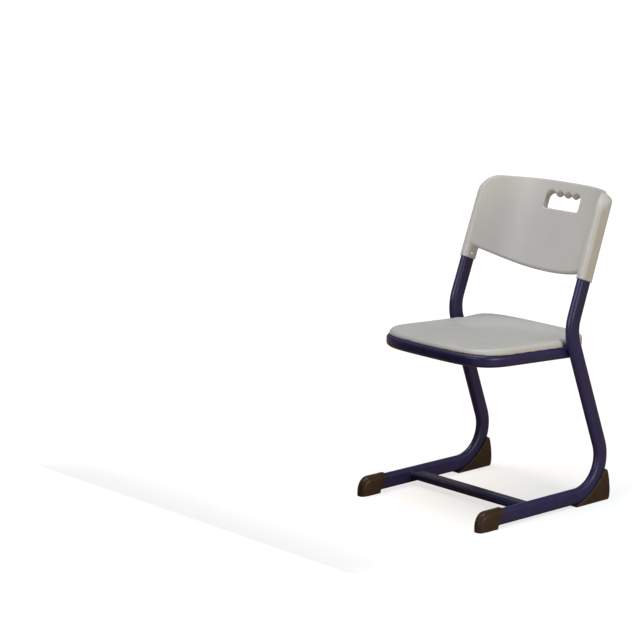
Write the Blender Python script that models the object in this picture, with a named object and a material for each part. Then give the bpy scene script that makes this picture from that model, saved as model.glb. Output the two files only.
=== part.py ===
"""Student desk chair: two bent flat-oval side frames, a floor bar, a U-shaped seat rail,
a moulded seat and a deeply curved moulded backrest with a finger-grip handle.
Metres, +Z up, the chair faces -Y, origin on the floor under the middle of its bounding box."""

import math

import bmesh
import bpy
from mathutils import Vector

# ---------------------------------------------------------------- driving dimensions
Y_MID = 0.0395          # how far behind the middle of the feet the bounding box is centred
GAP = 0.0003            # clearance between two pieces that touch

# flat-oval tube of the side frames and the floor bar
TUBE_W = 0.020
TUBE_D = 0.040
WALL = 0.0015
FRAME_X = 0.206         # half the distance between the frames, 50 mm above the floor
LEAN = 0.01215          # each frame leans inward by this much per metre of height
RUN_Z = 0.0246          # centreline height of the run along the floor
RUN_FRONT_Y = -0.188
BEND_LOW_R = 0.0906
BEND_HIGH_R = 0.0997
KNEE_Y, KNEE_Z = 0.0972, 0.4419      # where the lines of leg and upright cross
LEG_RAKE = math.radians(19.8)        # leg leans forward as it rises
BACK_RAKE = math.radians(20.28)      # upright leans back
UPRIGHT_LEN = 0.296                  # knee point to the tube's top end

# floor bar
BAR_Y = -0.0345

# seat rail
RAIL_TILT = math.tan(math.radians(3.05))
RAIL_TOP_Z = 0.4073     # at Y = 0 of the feet
RAIL_H = 0.030
RAIL_W = 0.020
RAIL_HALF = 0.1915      # outer face
RAIL_CORNER_Y = -0.060  # behind this the rails run straight
RAIL_REACH = 0.138      # front bow beyond RAIL_CORNER_Y
BOW_POWER = 3.8         # how square its corners are
RAIL_END_Y = 0.136
REAR_BAR_Y = 0.112

# seat moulding
SEAT_HALF = 0.1868
SEAT_REACH = 0.1315
SEAT_NOTCH_Y0, SEAT_NOTCH_Y1 = 0.074, 0.090
SEAT_TAIL_HALF = 0.1775
SEAT_TAIL_CORNER_Y, SEAT_TAIL_REACH = 0.146, 0.068
SEAT_SKIN = 0.0045
SEAT_SHOULDER = 0.013
SEAT_HEIGHT = 0.0155    # crown of the rim above the rail
SEAT_DISH = 0.0085
TAIL_SKIRT_Z = 0.371
FIXINGS = {"front_left": (-0.150, -0.105), "front_right": (0.150, -0.105),
           "rear_left": (-0.150, 0.050), "rear_right": (0.150, 0.050)}

# backrest moulding, measured up the upright from the knee point and square to it
SLEEVE_W, SLEEVE_D = 0.026, 0.046
SLEEVE_LOW = 0.128
PANEL_CENTRE = 0.070    # front face behind the tube centreline, in the middle
PANEL_EDGE = -0.0207    # and where it meets the sleeves
PANEL_POWER = 3.5
PANEL_HALF = 0.190
PANEL_T = 0.015
PANEL_SKIN = 0.005
PANEL_TOP_MID, PANEL_TOP_EDGE = 0.3695, 0.357
PANEL_LOW_MID, PANEL_LOW_EDGE = 0.139, 0.160
BROW_S, BROW_TOP = 0.297, 0.354      # where the front starts to roll back, and where it ends
BROW_X, BROW_RX = 0.148, 0.064       # the top corners run out from BROW_X over this width
GRIP_HALF, GRIP_LOW, GRIP_HIGH = 0.0578, 0.2968, 0.3405
GRIP_PITCH, GRIP_WAVE = 0.0273, 0.0086    # the finger scallops along its upper edge
GRIP_LOW_R, GRIP_HIGH_R = 0.006, 0.017
RIVET_S, RIVET_HEAD_R, RIVET_R = 0.140, 0.0045, 0.0022

# feet
CAP_W = 0.030
CAP_TIP_Y, CAP_HEEL_Y, CAP_TOP_Y, CAP_TOP_Z = -0.2243, -0.162, -0.141, 0.0480
FOOT_W = 0.030

SIDES = {"left": -1, "right": 1}


# ---------------------------------------------------------------- helpers
def material(name, colour, roughness, metallic=0.0):
    mat = bpy.data.materials.new(name)
    mat.use_nodes = True
    shader = mat.node_tree.nodes["Principled BSDF"]
    shader.inputs["Base Color"].default_value = (*colour, 1.0)
    shader.inputs["Roughness"].default_value = roughness
    shader.inputs["Metallic"].default_value = metallic
    return mat


def body(name, verts, faces, mat=None):
    """A closed mesh object, its normals facing out."""
    mesh = bpy.data.meshes.new(name)
    mesh.from_pydata([(x, y - Y_MID, z) for x, y, z in verts], [], faces)
    bm = bmesh.new()
    bm.from_mesh(mesh)
    bmesh.ops.recalc_face_normals(bm, faces=bm.faces)
    bm.to_mesh(mesh)
    bm.free()
    mesh.shade_smooth()
    mesh.set_sharp_from_angle(angle=math.radians(35))
    obj = bpy.data.objects.new(name, mesh)
    bpy.context.scene.collection.objects.link(obj)
    if mat:
        mesh.materials.append(material(name, *mat))
    return obj


def cutter(name, verts, faces):
    obj = body(name, verts, faces)
    obj.hide_render = True
    obj.display_type = "WIRE"
    return obj


def combine(target, other, operation):
    mod = target.modifiers.new(f"{operation.lower()}_{other.name}", "BOOLEAN")
    mod.operation = operation
    mod.solver = "EXACT"
    mod.object = other


def loft(loops, closed=False):
    """Vertices and faces through equal loops; the ends are capped unless the path is closed."""
    n = len(loops[0])
    verts = [p for loop in loops for p in loop]
    faces = []
    spans = len(loops) if closed else len(loops) - 1
    for i in range(spans):
        a, b = i * n, ((i + 1) % len(loops)) * n
        faces += [(a + j, a + (j + 1) % n, b + (j + 1) % n, b + j) for j in range(n)]
    if not closed:
        faces += [tuple(range(n)), tuple(range(len(verts) - n, len(verts)))]
    return verts, faces


def pipe(outer, inner):
    """A hollow run with open ends, from its outer and inner loops."""
    n, k = len(outer[0]), len(outer)
    verts = [p for loop in outer + inner for p in loop]
    faces = []
    for base in (0, n * k):
        for i in range(k - 1):
            a = base + i * n
            faces += [(a + j, a + (j + 1) % n, a + n + (j + 1) % n, a + n + j) for j in range(n)]
    for end in (0, n * (k - 1)):
        faces += [(end + j, end + (j + 1) % n, n * k + end + (j + 1) % n, n * k + end + j)
                  for j in range(n)]
    return verts, faces


def oval(width, depth, steps=6):
    """Flat-oval section as (across, along) points; half-round at both ends of the depth."""
    r, straight = width / 2, (depth - width) / 2
    half = [(r * math.cos(math.pi * i / steps), straight + r * math.sin(math.pi * i / steps))
            for i in range(steps + 1)]
    return half + [(-a, -d) for a, d in half]


def prism_x(outline, x0, x1, lean=False):
    """An outline in (y, z) carried across X; lean makes it follow a side frame."""
    def at(x):
        return [(x + (frame_x(z, 0) if lean else 0.0), y, z) for y, z in outline]
    return loft([at(x0), at(x1)])


def frame_x(z, side):
    """How far a side frame's middle plane has moved in from its 50 mm position."""
    return -side * LEAN * (z - 0.05)


def cylinder(centre, axis, radius, half, n=16):
    axis = Vector(axis).normalized()
    u = axis.orthogonal().normalized()
    v = axis.cross(u)
    ring = [u * (radius * math.cos(2 * math.pi * i / n)) + v * (radius * math.sin(2 * math.pi * i / n))
            for i in range(n)]
    c = Vector(centre)
    return loft([[tuple(c + p - axis * half) for p in ring], [tuple(c + p + axis * half) for p in ring]])


# ---------------------------------------------------------------- side frames
def side_path():
    """(y, z, heading) stations of a side frame's centreline, from the toe to the upright's top."""
    leg_turn = math.pi / 2 + LEG_RAKE
    heel_y = KNEE_Y + (KNEE_Z - RUN_Z) * math.tan(LEG_RAKE)
    low_tangent = BEND_LOW_R * math.tan(leg_turn / 2)
    y0 = heel_y - low_tangent
    path = [(RUN_FRONT_Y, RUN_Z, 0.0), (BAR_Y, RUN_Z, 0.0)]
    steps = 13
    for i in range(steps + 1):
        a = leg_turn * i / steps
        path.append((y0 + BEND_LOW_R * math.sin(a), RUN_Z + BEND_LOW_R * (1 - math.cos(a)), a))
    back_turn = LEG_RAKE + BACK_RAKE
    high_tangent = BEND_HIGH_R * math.tan(back_turn / 2)
    sy, sz = KNEE_Y + high_tangent * math.sin(LEG_RAKE), KNEE_Z - high_tangent * math.cos(LEG_RAKE)
    steps = 7
    for i in range(steps + 1):
        t = back_turn * i / steps
        along, across = BEND_HIGH_R * math.sin(t), BEND_HIGH_R * (1 - math.cos(t))
        y = sy - along * math.sin(LEG_RAKE) + across * math.cos(LEG_RAKE)
        z = sz + along * math.cos(LEG_RAKE) + across * math.sin(LEG_RAKE)
        path.append((y, z, leg_turn - t))
    top = upright_point(UPRIGHT_LEN, 0.0)
    path.append((top[0], top[1], leg_turn - back_turn))
    return path


def upright_point(s, o):
    """(y, z) at distance s up the upright from the knee point and o behind its centreline."""
    return (KNEE_Y + s * math.sin(BACK_RAKE) + o * math.cos(BACK_RAKE),
            KNEE_Z + s * math.cos(BACK_RAKE) - o * math.sin(BACK_RAKE))


def swept_loops(side, section, path):
    loops = []
    for y, z, heading in path:
        ny, nz = math.sin(heading), -math.cos(heading)
        loop = []
        for across, along in section:
            pz = z + along * nz
            loop.append((side * FRAME_X + frame_x(pz, side) + across, y + along * ny, pz))
        loops.append(loop)
    return loops


NAVY = ((0.035, 0.032, 0.075), 0.35)
GREY = ((0.42, 0.415, 0.39), 0.55)
BROWN = ((0.035, 0.024, 0.017), 0.5)
STEEL = ((0.55, 0.55, 0.56), 0.3, 1.0)


def upright_frame_x(s, side):
    return side * FRAME_X + frame_x(upright_point(s, 0.0)[1], side)


def side_frame(side_name, side):
    path = side_path()
    outer = swept_loops(side, oval(TUBE_W, TUBE_D), path)
    inner = swept_loops(side, oval(TUBE_W - 2 * WALL, TUBE_D - 2 * WALL), path)
    tube = body(f"side_frame_{side_name}", *pipe(outer, inner), NAVY)
    y, z = upright_point(RIVET_S, 0.0)
    x = upright_frame_x(RIVET_S, side) - side * TUBE_W / 2
    hole = cutter(f"rivet_hole_{side_name}", *cylinder((x, y, z), (1, 0, 0), RIVET_R + GAP, 0.004, 12))
    combine(tube, hole, "DIFFERENCE")


def floor_bar():
    reach = FRAME_X + frame_x(RUN_Z, 1) - TUBE_W / 2 - GAP
    def loops(w, d):
        return [[(x, BAR_Y + along, RUN_Z + across) for across, along in oval(w, d)]
                for x in (-reach - 0.0001, reach + 0.0001)]
    body("floor_crossbar", *pipe(loops(TUBE_W, TUBE_D), loops(TUBE_W - 2 * WALL, TUBE_D - 2 * WALL)), NAVY)


# ---------------------------------------------------------------- seat rail
def rail_top(y):
    return RAIL_TOP_Z - RAIL_TILT * y


def bowed(half, corner_y, reach, steps):
    """(x, y, nx, ny) along a squarish bow from its left side round the front to its right side."""
    out = []
    for i in range(steps + 1):
        a = math.pi * i / steps
        c, s = math.cos(a), math.sin(a)
        x = -half * math.copysign(abs(c) ** (2 / BOW_POWER), c)
        y = corner_y - reach * max(s, 0.0) ** (2 / BOW_POWER)
        gx = math.copysign(abs(x / half) ** (BOW_POWER - 1), x) / half
        gy = -((corner_y - y) / reach) ** (BOW_POWER - 1) / reach
        g = math.hypot(gx, gy)
        out.append((x, y, gx / g, gy / g))
    return out


def seat_rail():
    bow = bowed(RAIL_HALF, RAIL_CORNER_Y, RAIL_REACH, 28)
    stations = [(-RAIL_HALF, RAIL_END_Y, -1.0, 0.0), *bow, (RAIL_HALF, RAIL_END_Y, 1.0, 0.0)]
    def loops(w, h):
        made = []
        for x, y, nx, ny in stations:
            cx, cy = x - nx * RAIL_W / 2, y - ny * RAIL_W / 2
            made.append([(cx + nx * a, cy + ny * a, rail_top(cy + ny * a) - RAIL_H / 2 + b)
                         for a, b in oval(w, h, 6)])
        return made
    body("seat_rail", *pipe(loops(RAIL_W, RAIL_H), loops(RAIL_W - 2 * WALL, RAIL_H - 2 * WALL)), NAVY)
    reach = RAIL_HALF - RAIL_W - GAP
    z = rail_top(REAR_BAR_Y) - RAIL_H / 2
    def bar(w, h):
        return [[(x, REAR_BAR_Y + a, z + b) for a, b in oval(w, h, 6)] for x in (-reach, reach)]
    body("seat_rear_bar", *pipe(bar(RAIL_W, 0.026), bar(RAIL_W - 2 * WALL, 0.026 - 2 * WALL)), NAVY)


# ---------------------------------------------------------------- seat moulding
def seat_outline():
    """(x, y) round the seat's edge, anticlockwise from the rear left, seen from above."""
    right = [(x, y) for x, y, _, _ in bowed(SEAT_HALF, RAIL_CORNER_Y, SEAT_REACH, 28)][14:]
    side = [(SEAT_HALF, y) for y in (-0.030, 0.020, SEAT_NOTCH_Y0)]
    side += [(SEAT_TAIL_HALF, y) for y in (SEAT_NOTCH_Y1, 0.120, 0.1385, 0.1415)]
    tail = []
    for i in range(0, 11):
        a = math.pi / 2 * i / 10
        tail.append((SEAT_TAIL_HALF * math.cos(a) ** 0.45,
                     SEAT_TAIL_CORNER_Y + SEAT_TAIL_REACH * math.sin(a) ** 0.55))
    half = right + side + tail
    return half + [(-x, y) for x, y in reversed(half[1:-1])]


def smooth(t):
    t = min(max(t, 0.0), 1.0)
    return t * t * (3 - 2 * t)


def seat_top(x, y):
    """Height of the seat's upper face: a shallow dish, a waterfall front and a raised rear lip."""
    dish = SEAT_DISH * max(0.0, 1 - (x / 0.175) ** 2) * smooth((y + 0.170) / 0.150)
    dish *= 1 - smooth((y - 0.080) / 0.110)
    front = 0.0040 * smooth((-0.115 - y) / 0.080)
    lip = 0.0060 * smooth((y - 0.090) / 0.100)
    return rail_top(y) + SEAT_HEIGHT - dish - front + lip


def seat_underside(y):
    """Lower edge of the skirt: on the rail, then full depth behind the uprights."""
    t = smooth((y - 0.1385) / 0.003)
    return (1 - t) * (rail_top(y) + GAP) + t * TAIL_SKIRT_Z


def seat_shoulder(x, y):
    """Radius of the rounding between the seat's upper face and its skirt."""
    return min(SEAT_SHOULDER, seat_top(x, y) - rail_top(y) - 0.0020)


def seat_shell():
    outline = seat_outline()
    middle = (0.0, 0.010)
    def inward(p, d):
        dx, dy = middle[0] - p[0], middle[1] - p[1]
        k = d / math.hypot(dx, dy)
        return p[0] + dx * k, p[1] + dy * k
    def scaled(p, k):
        return middle[0] + (p[0] - middle[0]) * k, middle[1] + (p[1] - middle[1]) * k
    outer = [[(x, y, seat_underside(y)) for x, y in outline]]
    outer.append([(x, y, seat_top(x, y) - seat_shoulder(x, y)) for x, y in outline])
    for step in (1, 2, 3, 4):
        a = math.pi / 2 * step / 4
        loop = []
        for p in outline:
            q = inward(p, SEAT_SHOULDER * (1 - math.cos(a)))
            loop.append((*q, seat_top(*q) - seat_shoulder(*p) * (1 - math.sin(a))))
        outer.append(loop)
    rim = outer[-1]
    for k in (0.90, 0.78, 0.62, 0.42, 0.20):
        outer.append([(*q, seat_top(*q)) for q in (scaled((x, y), k) for x, y, _ in rim)])
    t = SEAT_SKIN
    inner = []
    for k in (0.20, 0.42, 0.62, 0.78, 0.90, 1.0):
        inner.append([(*q, seat_top(*q) - t) for q in (scaled((x, y), k) for x, y, _ in rim)])
    edge = [inward(p, t) for p in outline]
    inner.append([(x, y, seat_top(x, y) - seat_shoulder(*p)) for (x, y), p in zip(edge, outline)])
    inner.append([(x, y, seat_underside(p[1])) for (x, y), p in zip(edge, outline)])
    loops = outer + inner
    n = len(outline)
    verts, faces = loft(loops)
    faces = faces[:-2]
    split = len(outer)
    faces = [f for f in faces if not (f[0] // n == split - 1 and f[2] // n == split)]
    for loop, under in ((split - 1, 0.0), (split, t)):
        centre = len(verts)
        verts.append((*middle, seat_top(*middle) - under))
        faces += [(loop * n + j, loop * n + (j + 1) % n, centre) for j in range(n)]
    last = (len(loops) - 1) * n
    faces += [(j, (j + 1) % n, last + (j + 1) % n, last + j) for j in range(n)]
    seat = body("seat_shell", verts, faces, GREY)
    for where, (x, y) in FIXINGS.items():
        top = seat_top(x, y) - t / 2
        low = rail_top(y) - 0.0040 + GAP
        boss = cutter(f"boss_{where}", *cylinder((x, y, (top + low) / 2), (0, 0, 1), 0.0070,
                                                 (top - low) / 2, 16))
        combine(seat, boss, "UNION")
    for where, (x, y) in FIXINGS.items():
        z = rail_top(y)
        pilot = cutter(f"pilot_{where}", *cylinder((x, y, z - 0.001), (0, 0, 1), 0.0025, 0.0065, 12))
        combine(seat, pilot, "DIFFERENCE")


def fixing_tabs():
    """Flat tabs welded inside the rail, each with a pan-head screw up into the seat."""
    for where, (x, y) in FIXINGS.items():
        side = math.copysign(1, x)
        z1 = rail_top(y) - 0.0040
        z0 = z1 - 0.003
        wide = 0.014
        x_in, x_out = x - side * 0.012, side * (RAIL_HALF - RAIL_W - GAP)
        if "front" in where:
            x_out -= side * 0.0034
        outline = [(x_in, y - wide), (x_out, y - wide), (x_out, y + wide), (x_in, y + wide)]
        tab = body(f"seat_tab_{where}", *loft([[(a, b, z0) for a, b in outline],
                                               [(a, b, z1) for a, b in outline]]), NAVY)
        hole = cutter(f"tab_hole_{where}", *cylinder((x, y, z0), (0, 0, 1), 0.0026, 0.008, 12))
        combine(tab, hole, "DIFFERENCE")
        rings = [(0.0030, z0 - 0.0030), (0.0045, z0 - 0.0022), (0.0048, z0 - GAP),
                 (0.0021, z0 - GAP), (0.0021, z1 + 0.0075)]
        loops = [[(x + r * math.cos(math.pi * i / 6), y + r * math.sin(math.pi * i / 6), z)
                  for i in range(12)] for r, z in rings]
        body(f"seat_screw_{where}", *loft(loops), STEEL)


# ---------------------------------------------------------------- backrest moulding
def panel_front(x):
    """How far the panel's front face lies behind the tube centreline."""
    return PANEL_CENTRE - (PANEL_CENTRE - PANEL_EDGE) * min(abs(x) / PANEL_HALF, 1.0) ** PANEL_POWER


def panel_point(x, s, depth):
    """A point of the panel at x, s up the upright and depth behind the front face, square to it."""
    h = 1e-4
    slope = (panel_front(x + h) - panel_front(x - h)) / (2 * h)
    k = 1 / math.hypot(1, slope)
    o = panel_front(x) + depth * k
    y, z = upright_point(s, o)
    return (x - depth * slope * k, y, z)


def span(n, half):
    return [half * math.sin(math.pi * (i / (n - 1) - 0.5)) for i in range(n)]


def panel_edges(x):
    t = abs(x) / PANEL_HALF
    top = PANEL_TOP_MID + (PANEL_TOP_EDGE - PANEL_TOP_MID) * t ** 2
    low = PANEL_LOW_MID + (PANEL_LOW_EDGE - PANEL_LOW_MID) * t ** 2
    return low, top


def panel_slab(depth0, depth1, inset, half, columns):
    """The panel's closed slab between two depths, its edges rounded by three-step corners."""
    r = 0.0 if inset else 0.005
    loops = []
    for x in span(columns, half):
        low, top = panel_edges(x)
        low, top = low + inset, top - inset
        if r:
            section = [(depth0 + r, low), (depth1 - r, low), (depth1 - 0.3 * r, low + 0.3 * r),
                       (depth1, low + r), (depth1, top - r), (depth1 - 0.3 * r, top - 0.3 * r),
                       (depth1 - r, top), (depth0 + r, top), (depth0 + 0.3 * r, top - 0.3 * r),
                       (depth0, top - r), (depth0, low + r), (depth0 + 0.3 * r, low + 0.3 * r)]
        else:
            section = [(depth0, low), (depth1, low), (depth1, top), (depth0, top)]
        loops.append([panel_point(x, s, d) for d, s in section])
    return loft(loops)


def grip_outline(grow):
    """(x, s) round the handle opening: flat below, four finger scallops above."""
    half, low, high = GRIP_HALF + grow, GRIP_LOW - grow, GRIP_HIGH + grow
    r0, r1 = GRIP_LOW_R + grow, GRIP_HIGH_R + grow
    right = [(half - r0 + r0 * math.sin(math.radians(30 * i)), low + r0 - r0 * math.cos(math.radians(30 * i)))
             for i in range(4)]
    right += [(half - r1 + r1 * math.cos(math.radians(18 * i)), high - r1 + r1 * math.sin(math.radians(18 * i)))
              for i in range(6)]
    if grow == 0:
        for i in range(11, 0, -1):
            x = GRIP_PITCH * i / 8
            right.append((x, high - GRIP_WAVE * (1 - abs(math.sin(math.pi * x / GRIP_PITCH)))))
        right.append((0.0, high - GRIP_WAVE))
    return right + [(-x, s) for x, s in reversed(right) if x > 0]


def prism_back(outline, o0, o1):
    """An outline in (x, s) carried from o0 to o1 behind the uprights."""
    return loft([[(x, *upright_point(s, o)) for x, s in outline] for o in (o0, o1)])


def sleeve(side, width, depth, s0, s1, steps=6):
    loops = []
    for s in (s0, s1):
        loop = []
        for across, along in oval(width, depth, steps):
            y, z = upright_point(s, along)
            loop.append((side * FRAME_X + frame_x(z, side) + across, y, z))
        loops.append(loop)
    return loft(loops)


def brow():
    """What is left of the top: its front rolls back and its two corners are domed."""
    loops = []
    for s in [0.05, BROW_S - 0.0001] + [BROW_S + (BROW_TOP - BROW_S) * math.sin(math.pi / 2 * i / 9)
                                        for i in range(10)] + [0.375]:
        t = min(max((s - BROW_S) / (BROW_TOP - BROW_S), 0.0), 1.0)
        reach = BROW_X + BROW_RX * (1 - t ** 3) ** (1 / 3)
        front = 0.0235 - 0.0470 * math.sqrt(1 - t * t)
        round_x, round_o = 0.002 + 0.046 * t ** 1.3, 0.002 + 0.030 * t ** 1.3
        if s > BROW_TOP:
            reach, front = BROW_X, 0.0240
        half = [(reach, 0.140)]
        half += [(reach - round_x * (1 - math.cos(math.pi / 2 * i / 6)),
                  front + round_o * (1 - math.sin(math.pi / 2 * i / 6))) for i in range(7)]
        half.append((0.05, front))
        outline = half + [(-x, o) for x, o in reversed(half)]
        loops.append([(x, *upright_point(s, o)) for x, o in outline])
    return loft(loops)


def backrest():
    shell = body("backrest_shell", *panel_slab(0.0, PANEL_T, 0.0, PANEL_HALF, 25), GREY)
    pocket = cutter("panel_pocket", *panel_slab(PANEL_SKIN, PANEL_T + 0.010, 0.007, 0.168, 21))
    collar = cutter("grip_collar", *prism_back(grip_outline(0.006), 0.030, 0.120))
    combine(pocket, collar, "DIFFERENCE")
    combine(shell, pocket, "DIFFERENCE")
    for name, side in SIDES.items():
        combine(shell, cutter(f"sleeve_{name}", *sleeve(side, SLEEVE_W, SLEEVE_D, SLEEVE_LOW, 0.362, 8)),
                "UNION")
    combine(shell, cutter("brow", *brow()), "INTERSECT")
    for name, side in SIDES.items():
        bore = sleeve(side, TUBE_W + 2 * GAP, TUBE_D + 2 * GAP, SLEEVE_LOW - 0.02, UPRIGHT_LEN + 0.001)
        combine(shell, cutter(f"tube_bore_{name}", *bore), "DIFFERENCE")
    combine(shell, cutter("grip_opening", *prism_back(grip_outline(0.0), 0.020, 0.130)), "DIFFERENCE")
    for name, side in SIDES.items():
        y, z = upright_point(RIVET_S, 0.0)
        mid = upright_frame_x(RIVET_S, side)
        face = mid - side * SLEEVE_W / 2
        hole = cylinder((face, y, z), (1, 0, 0), RIVET_R + GAP, 0.006, 12)
        combine(shell, cutter(f"shell_rivet_hole_{name}", *hole), "DIFFERENCE")
        rings = [(0.0022, -0.0022), (0.0038, -0.0016), (RIVET_HEAD_R, -GAP), (RIVET_R, -GAP),
                 (RIVET_R, 0.0068)]
        loops = [[(face + side * dx, y + r * math.cos(math.pi * i / 6), z + r * math.sin(math.pi * i / 6))
                  for i in range(12)] for r, dx in rings]
        body(f"backrest_rivet_{name}", *loft(loops), STEEL)


# ---------------------------------------------------------------- feet
def toe_section(y, steps=5):
    """(across, z) of the toe cap: flat sole, round crown, tapering over the nose."""
    t = min(max((y - CAP_TIP_Y) / 0.033, 0.0), 1.0)
    top = 0.010 + (CAP_TOP_Z - 0.010) * math.sqrt(1 - (1 - t) ** 2)
    half = CAP_W / 2 - 0.004 * (1 - t) ** 2
    r = min(half - 0.001, top - 0.004)
    points = [(-half + 0.001, 0.0), (half - 0.001, 0.0), (half, 0.001)]
    points += [(half - r + r * math.cos(math.pi / 2 * i / steps), top - r + r * math.sin(math.pi / 2 * i / steps))
               for i in range(steps + 1)]
    points += [(-half + r - r * math.sin(math.pi / 2 * i / steps), top - r + r * math.cos(math.pi / 2 * i / steps))
               for i in range(steps + 1)]
    points.append((-half, 0.001))
    return points


def toe_cap(name, side):
    ys = [CAP_TIP_Y + 0.033 * (1 - math.cos(math.pi / 2 * i / 7)) for i in range(8)]
    ys += [CAP_HEEL_Y, CAP_TOP_Y]
    loops = [[(side * FRAME_X + frame_x(z, side) + a, y, z) for a, z in toe_section(y)] for y in ys]
    cap = body(f"front_foot_cap_{name}", *loft(loops), BROWN)
    path = [(RUN_FRONT_Y - 0.001, RUN_Z, 0.0), (CAP_TOP_Y + 0.02, RUN_Z, 0.0)]
    bore = swept_loops(side, oval(TUBE_W + 2 * GAP, TUBE_D + 2 * GAP), path)
    combine(cap, cutter(f"cap_bore_{name}", *loft(bore)), "DIFFERENCE")
    mouth = [(CAP_HEEL_Y, -0.01), (CAP_HEEL_Y, 0.002), (-0.1585, 0.016), (-0.1500, 0.031),
             (-0.1450, 0.038), (-0.1415, 0.043), (-0.1405, 0.055), (-0.12, 0.055), (-0.12, -0.01)]
    x = side * FRAME_X
    combine(cap, cutter(f"cap_mouth_{name}", *prism_x(mouth, x - 0.03, x + 0.03)), "DIFFERENCE")


def heel_foot(name, side):
    outline = [(0.1140, 0.0), (0.2235, 0.0), (0.2275, 0.0015), (0.2300, 0.0060), (0.2316, 0.0180),
               (0.2316, 0.0300), (0.2295, 0.0500), (0.2262, 0.0660), (0.2232, 0.0755),
               (0.2180, 0.0795), (0.2120, 0.0770), (0.2050, 0.0665), (0.1950, 0.0545),
               (0.1800, 0.0400), (0.1590, 0.0243), (0.1350, 0.0125), (0.1220, 0.0070),
               (0.1120, 0.0030), (0.1115, 0.0005)]
    half = FOOT_W / 2
    bevel = 0.0012
    def loop(across, shrink):
        cy, cz = 0.19, 0.030
        pts = []
        for y, z in outline:
            d = math.hypot(y - cy, z - cz)
            k = 1 - shrink / d
            py, pz = cy + (y - cy) * k, max(0.0, cz + (z - cz) * k)
            if z == 0.0:
                pz = 0.0
            pts.append((side * FRAME_X + frame_x(pz, side) + across, py, pz))
        return pts
    loops = [loop(-half, bevel), loop(-half + bevel, 0.0), loop(half - bevel, 0.0), loop(half, bevel)]
    foot = body(f"rear_foot_{name}", *loft(loops), BROWN)
    path = side_path()[1:18]
    cradle = swept_loops(side, oval(TUBE_W + 2 * GAP, TUBE_D + 2 * GAP), path)
    combine(foot, cutter(f"foot_cradle_{name}", *loft(cradle)), "DIFFERENCE")


# ---------------------------------------------------------------- build
for old in list(bpy.data.objects):
    bpy.data.objects.remove(old, do_unlink=True)

for side_name, side_sign in SIDES.items():
    side_frame(side_name, side_sign)
    toe_cap(side_name, side_sign)
    heel_foot(side_name, side_sign)
floor_bar()
seat_rail()
seat_shell()
fixing_tabs()
backrest()
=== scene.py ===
"""Looks of the student desk chair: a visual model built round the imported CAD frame.
Metres, row frame, +Z up, the chair faces -Y. Coordinates called "feet" are measured
from the middle of the feet; Y_MID behind it is the row frame's origin."""

import math

import bmesh
import bpy
import numpy as np
import openvdb
from mathutils import Matrix, Vector


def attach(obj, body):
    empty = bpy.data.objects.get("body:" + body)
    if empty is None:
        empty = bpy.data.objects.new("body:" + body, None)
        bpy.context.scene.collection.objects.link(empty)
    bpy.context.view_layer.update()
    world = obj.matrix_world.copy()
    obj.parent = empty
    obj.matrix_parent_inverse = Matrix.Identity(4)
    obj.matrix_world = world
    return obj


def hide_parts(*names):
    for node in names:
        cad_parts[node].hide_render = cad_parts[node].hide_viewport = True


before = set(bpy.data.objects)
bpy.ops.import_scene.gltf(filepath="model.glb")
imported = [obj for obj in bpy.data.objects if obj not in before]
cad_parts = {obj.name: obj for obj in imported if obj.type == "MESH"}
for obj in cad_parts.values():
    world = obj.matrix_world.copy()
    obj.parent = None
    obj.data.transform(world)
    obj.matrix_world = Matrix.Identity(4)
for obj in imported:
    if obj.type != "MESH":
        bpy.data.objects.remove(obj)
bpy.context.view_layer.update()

# ---------------------------------------------------------------- dimensions
Y_MID = 0.0395
TUBE_W, TUBE_D, TUBE_WALL = 0.020, 0.040, 0.0015
FIT_GAP = 0.0003  # between a plastic piece and the tube inside it
FRAME_X, LEAN, LEAN_Z = 0.206, 0.01215, 0.05
RUN_Z, RUN_FRONT_Y = 0.0246, -0.188
BEND_LOW_R, BEND_HIGH_R = 0.0906, 0.0997
KNEE_Y, KNEE_Z = 0.0972, 0.4419
LEG_RAKE, BACK_RAKE = math.radians(19.8), math.radians(20.28)
UPRIGHT_LEN = 0.296
BAR_Y = -0.0345

RAIL_TILT = math.tan(math.radians(3.05))
RAIL_TOP_Z, RAIL_H, RAIL_W, RAIL_HALF = 0.4073, 0.030, 0.020, 0.1915
RAIL_CORNER_Y, RAIL_REACH, BOW_POWER, RAIL_END_Y = -0.060, 0.138, 3.8, 0.136
REAR_BAR_Y, REAR_BAR_H = 0.112, 0.026

SEAT_HALF, SEAT_REACH = 0.1868, 0.1315
STEP_Y, STEP_LEN = 0.084, 0.016
TAIL_HALF, TAIL_CORNER_Y, TAIL_REACH = 0.1775, 0.130, 0.084
TAIL_CORNER_POWER_X, TAIL_CORNER_POWER_Y = 0.62, 0.70
TAIL_SKIRT_Y, TAIL_SKIRT_Z, TAIL_DRAFT = 0.1365, 0.371, 0.16
SEAT_SKIN, SEAT_SHOULDER, SEAT_HEIGHT = 0.0045, 0.013, 0.0155
BOWL_DEPTH, BOWL_Y, BOWL_HALF_X, BOWL_HALF_Y, BOWL_POWER = 0.0105, 0.088, 0.160, 0.102, 2.5
SADDLE, FRONT_DROP, REAR_LIP = 0.0015, 0.0040, 0.0065
BOSS_R, BOSS_RISE, BOSS_HALF_H = 0.007, 0.002, 0.0057
TAB_REACH, TAB_HALF, TAB_R, TAB_T, TAB_CHAMFER, TAB_DROP = 0.012, 0.014, 0.004, 0.003, 0.0005, 0.0040
FIXINGS = {"front_left": (-0.150, -0.105), "front_right": (0.150, -0.105),
           "rear_left": (-0.150, 0.050), "rear_right": (0.150, 0.050)}

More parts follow.
